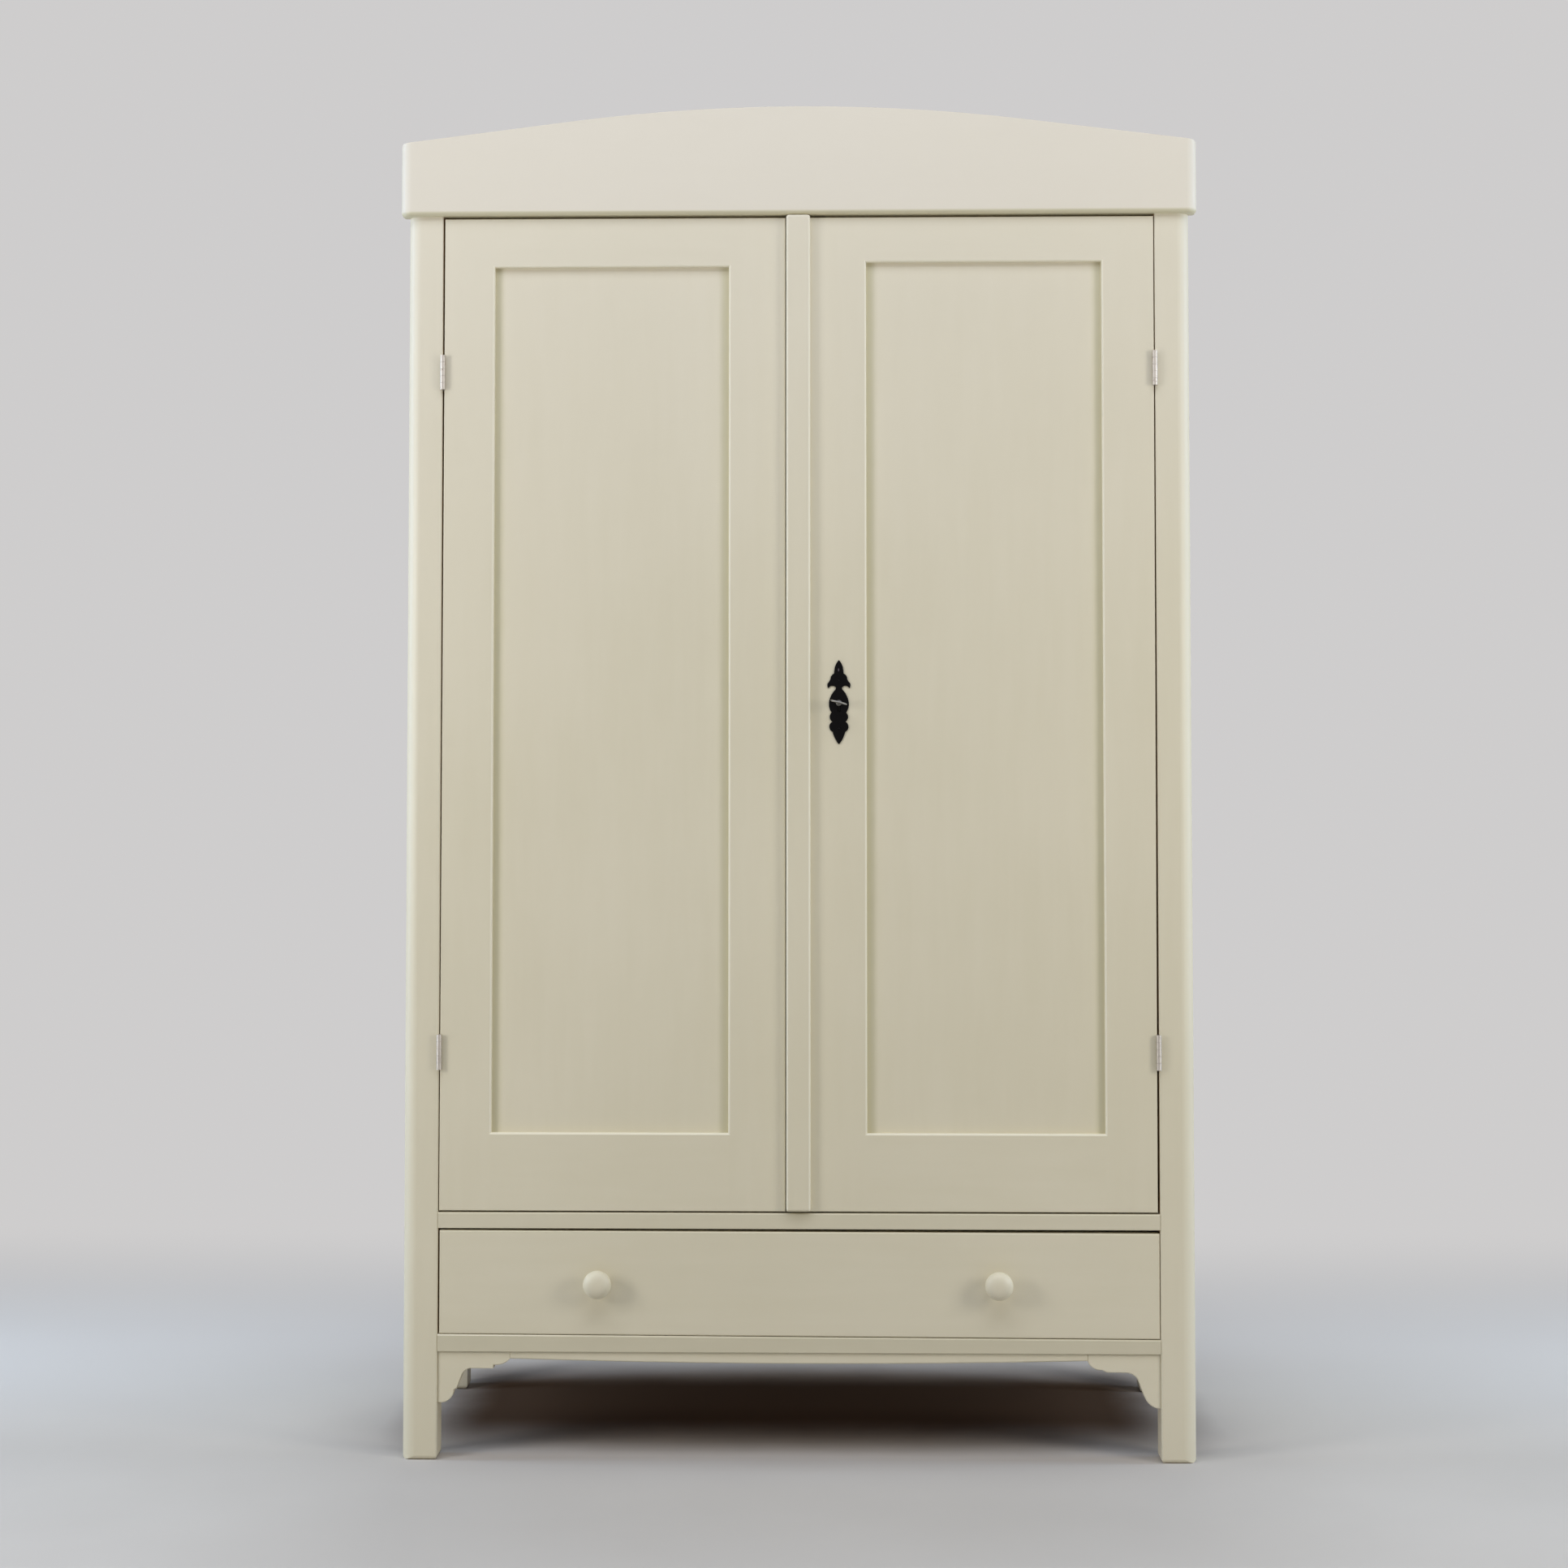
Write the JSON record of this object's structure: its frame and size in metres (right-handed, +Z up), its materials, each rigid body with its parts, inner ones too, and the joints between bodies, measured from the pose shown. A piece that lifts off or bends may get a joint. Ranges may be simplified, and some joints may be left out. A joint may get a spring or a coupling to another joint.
{
  "type": "two-door wardrobe cabinet",
  "caption": "Painted panelled cabinet with an arched crown, double doors with a lock and key, adjustable shelves and a base drawer.",
  "frame": {"origin": "on the floor, under the middle of the cabinet's outer box", "axes": "+X to the right seen from the front, -Y out of the front, +Z up"},
  "size_m": [1.222, 0.5606, 2.06],
  "materials": {
    "painted_wood": "satin cream paint with a sage tint on pine",
    "bare_pine": "bare aged pine",
    "hinge_steel": "dull steel",
    "screw_steel": "dull steel",
    "lock_steel": "dark dull steel",
    "black_iron": "blackened forged iron",
    "key_steel": "worn steel"
  },
  "bodies": {
    "carcase": {"front_post_left": "painted_wood", "front_post_right": "painted_wood", "rear_post_left": "painted_wood", "rear_post_right": "painted_wood", "side_top_rails": "painted_wood", "side_bottom_rails": "painted_wood", "side_panel_left": "painted_wood", "side_panel_right": "painted_wood", "front_top_rail": "bare_pine", "mid_rail": "painted_wood", "bottom_rail": "painted_wood", "rear_rails": "bare_pine", "back_boards": "bare_pine", "cabinet_floor": "bare_pine", "floor_bearers": "bare_pine", "drawer_runners": "bare_pine", "roof_board": "bare_pine", "crown_board": "painted_wood", "crown_returns": "painted_wood", "crown_blocks": "bare_pine", "apron_strip": "painted_wood", "bracket_left": "painted_wood", "bracket_right": "painted_wood", "shelf_racks": "bare_pine", "shelf_bearers": "bare_pine", "shelves": "bare_pine", "frame_hinge_leaves": "hinge_steel", "hinge_pins": "hinge_steel", "frame_hinge_screws": "screw_steel"},
    "left_door": {"left_door_hinge_stile": "painted_wood", "left_door_lock_stile": "painted_wood", "left_door_top_rail": "painted_wood", "left_door_bottom_rail": "painted_wood", "left_door_panel": "painted_wood", "left_hinge_leaves": "hinge_steel", "left_door_screws": "screw_steel", "lock_keeper": "lock_steel", "bolt_guides": "lock_steel"},
    "right_door": {"right_door_hinge_stile": "painted_wood", "right_door_lock_stile": "painted_wood", "right_door_top_rail": "painted_wood", "right_door_bottom_rail": "painted_wood", "right_door_panel": "painted_wood", "right_hinge_leaves": "hinge_steel", "right_door_screws": "screw_steel", "meeting_strip": "painted_wood", "lock_case": "lock_steel", "escutcheon": "black_iron", "escutcheon_nails": "black_iron"},
    "drawer": {"drawer_front": "painted_wood", "drawer_sides": "bare_pine", "drawer_back": "bare_pine", "drawer_bottom": "bare_pine", "drawer_knobs": "painted_wood", "knob_screws": "screw_steel"},
    "key": {"key": "key_steel"},
    "lock_bolt": {"lock_bolt": "lock_steel"},
    "door_bolt_top": {"door_bolt_top": "lock_steel"},
    "door_bolt_bottom": {"door_bolt_bottom": "lock_steel"}
  },
  "joints": [
    {"name": "left_door_hinge", "type": "hinge", "parent": "carcase", "child": "left_door", "pos_m": [-0.545, -0.24915, 0], "axis": [0, 0, -1], "range_deg": [0, 180]},
    {"name": "right_door_hinge", "type": "hinge", "parent": "carcase", "child": "right_door", "pos_m": [0.545, -0.24915, 0], "axis": [0, 0, 1], "range_deg": [0, 180]},
    {"name": "drawer_slide", "type": "slide", "parent": "carcase", "child": "drawer", "axis": [0, -1, 0], "range_m": [0, 0.38]},
    {"name": "key_turn", "type": "hinge", "parent": "right_door", "child": "key", "pos_m": [0.0625, -0.24475, 1.1438], "axis": [0, -1, 0], "range_deg": [0, 285]},
    {"name": "lock_bolt_slide", "type": "slide", "parent": "right_door", "child": "lock_bolt", "axis": [-1, 0, 0], "range_m": [0, 0.012]},
    {"name": "door_bolt_top_slide", "type": "slide", "parent": "left_door", "child": "door_bolt_top", "axis": [0, 0, 1], "range_m": [0, 0.012]},
    {"name": "door_bolt_bottom_slide", "type": "slide", "parent": "left_door", "child": "door_bolt_bottom", "axis": [0, 0, -1], "range_m": [0, 0.012]}
  ],
  "couplings": [
    {"joint": "key_turn", "follows": "lock_bolt_slide", "rad_per_m": 414.51}
  ]
}
